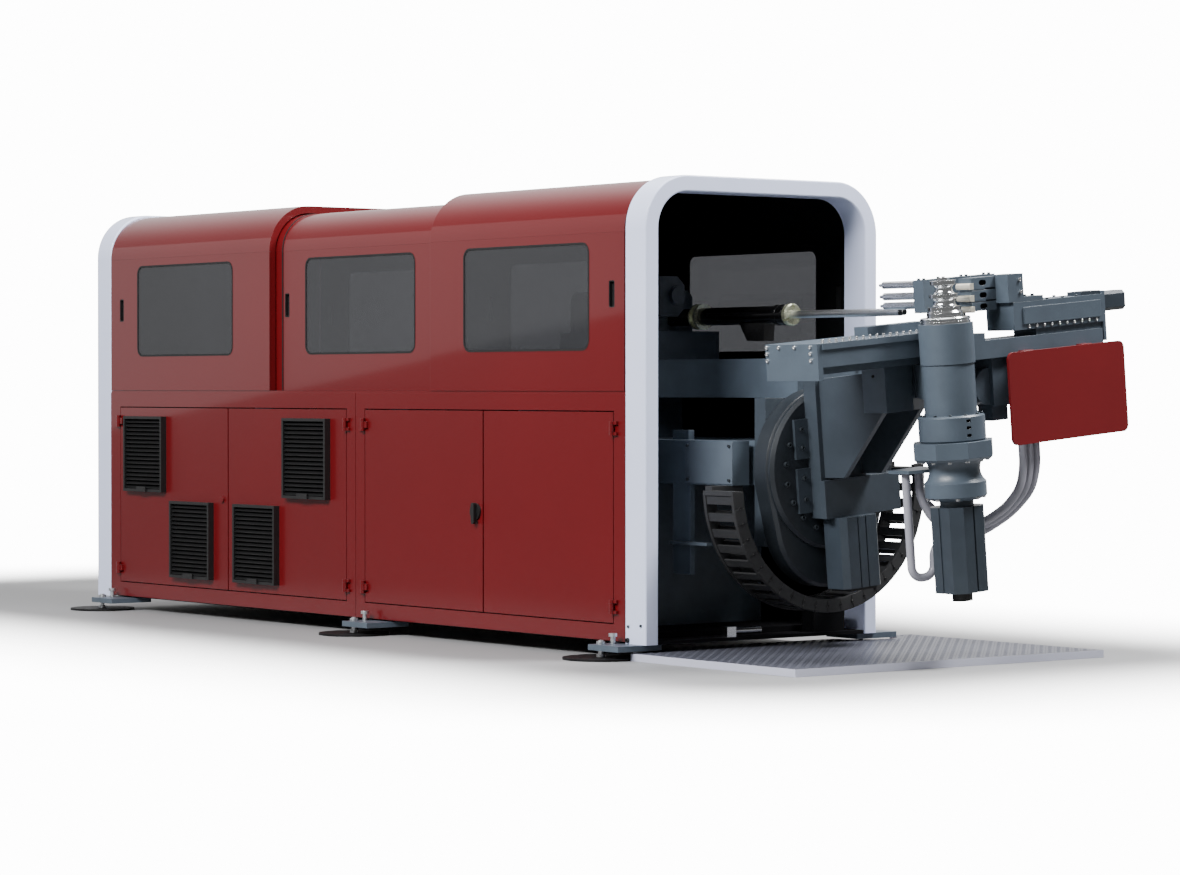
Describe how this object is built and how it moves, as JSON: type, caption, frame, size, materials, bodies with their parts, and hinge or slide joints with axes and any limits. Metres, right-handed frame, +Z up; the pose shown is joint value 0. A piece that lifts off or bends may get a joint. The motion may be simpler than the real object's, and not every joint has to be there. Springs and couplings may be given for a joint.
{
  "type": "electric tube bending machine",
  "caption": "Long red cabinet with sliding windowed hoods and louvred doors, a tube feed inside, and a swivelling electric bending head in front of its open end.",
  "frame": {"origin": "on the floor, midway between the four corner anchor holes of the feet, under the middle of the housing", "axes": "+X along the machine towards the bending head, +Y towards the side without doors, +Z up"},
  "size_m": [5.923, 1.9398, 2.065],
  "materials": {
    "red_paint": "semi-gloss deep red paint",
    "silver_paint": "satin silver paint",
    "machine_grey": "satin blue-grey paint",
    "black_plastic": "matt black",
    "black_steel": "black painted steel",
    "chain_plastic": "matt dark grey plastic",
    "bright_steel": "polished steel",
    "brass_ring": "pale plated ring",
    "zinc_steel": "zinc plated steel",
    "mat_steel": "ribbed aluminium tread",
    "glass": "dark tinted sheet",
    "hose": "smooth light grey hose"
  },
  "bodies": {
    "housing": {"front_portal": "silver_paint", "rear_portal": "silver_paint", "near_wall": "red_paint", "far_wall": "red_paint", "base_frame": "black_steel", "rear_wall": "red_paint", "door_hinges": "red_paint", "foot_plates": "black_steel", "foot_brackets": "machine_grey", "levelling_bolts": "zinc_steel", "tread_mat": "mat_steel", "machine_bed": "machine_grey", "bed_columns": "machine_grey", "cable_post": "machine_grey", "pan_roller": "silver_paint", "feed_beam": "machine_grey", "swivel_plate": "machine_grey", "swivel_casing": "machine_grey", "energy_chain": "chain_plastic"},
    "door_1": {"door_1": "red_paint", "door_1_vents": "black_plastic"},
    "door_2": {"door_2": "red_paint", "door_2_vents": "black_plastic"},
    "door_3": {"door_3": "red_paint", "swing_handle": "black_plastic"},
    "door_4": {"door_4": "red_paint"},
    "hood_rear": {"hood_rear": "red_paint", "windows_rear": "glass"},
    "hood_middle": {"hood_middle": "red_paint", "windows_middle": "glass"},
    "hood_front": {"hood_front": "red_paint", "windows_front": "glass"},
    "carriage": {"feed_carriage": "machine_grey", "feed_barrel": "black_steel", "barrel_rings": "brass_ring", "carriage_motor": "machine_grey"},
    "collet": {"collet": "brass_ring", "workpiece_tube": "bright_steel", "mandrel_nose": "black_steel"},
    "head": {"swivel_disc": "machine_grey", "head_bracket": "machine_grey", "lower_housing": "machine_grey", "lower_motor": "machine_grey", "cross_beam": "machine_grey", "beam_end_plate": "machine_grey", "spindle_housing": "machine_grey", "gearbox": "machine_grey", "bend_motor": "machine_grey", "pressure_block": "machine_grey", "pressure_rods": "bright_steel", "hose_loops": "hose"},
    "bend_arm": {"bend_arm": "machine_grey", "die_stack": "bright_steel", "clamp_slide": "machine_grey", "slide_motor": "machine_grey", "arm_gearbox": "machine_grey", "sign_panel": "red_paint", "hose_risers": "hose"},
    "clamp": {"jaw_holder": "machine_grey", "clamp_dies": "bright_steel"}
  },
  "joints": [
    {"name": "door_1_swing", "type": "hinge", "parent": "housing", "child": "door_1", "pos_m": [-2.092, -0.667, 0.6], "axis": [0, 0, 1], "range_deg": [-90, 0]},
    {"name": "door_2_swing", "type": "hinge", "parent": "housing", "child": "door_2", "pos_m": [0.046, -0.667, 0.6], "axis": [0, 0, 1], "range_deg": [0, 90]},
    {"name": "door_3_swing", "type": "hinge", "parent": "housing", "child": "door_3", "pos_m": [0.198, -0.667, 0.6], "axis": [0, 0, 1], "range_deg": [-90, 0]},
    {"name": "door_4_swing", "type": "hinge", "parent": "housing", "child": "door_4", "pos_m": [2.114, -0.667, 0.6], "axis": [0, 0, 1], "range_deg": [0, 90]},
    {"name": "hood_rear_slide", "type": "slide", "parent": "housing", "child": "hood_rear", "axis": [1, 0, 0], "range_m": [0, 0.6]},
    {"name": "hood_middle_slide", "type": "slide", "parent": "housing", "child": "hood_middle", "axis": [1, 0, 0], "range_m": [-0.6, 0.6]},
    {"name": "hood_front_slide", "type": "slide", "parent": "housing", "child": "hood_front", "axis": [1, 0, 0], "range_m": [-0.6, 0]},
    {"name": "carriage_feed", "type": "slide", "parent": "housing", "child": "carriage", "axis": [1, 0, 0], "range_m": [-2.4, 0]},
    {"name": "collet_spin", "type": "hinge", "parent": "carriage", "child": "collet", "pos_m": [2.284, 0.2, 1.477], "axis": [1, 0, 0], "continuous": true},
    {"name": "head_swivel", "type": "hinge", "parent": "housing", "child": "head", "pos_m": [2.648, 0.1, 0.812], "axis": [1, 0, 0], "range_deg": [-40, 40]},
    {"name": "bend_swing", "type": "hinge", "parent": "head", "child": "bend_arm", "pos_m": [3.429, 0.05729, 1.30014], "axis": [0, -0.0872, 0.9962], "range_deg": [-180, 0]},
    {"name": "clamp_close", "type": "slide", "parent": "bend_arm", "child": "clamp", "axis": [0, 0.9962, 0.0872], "range_m": [-0.05, 0]}
  ]
}
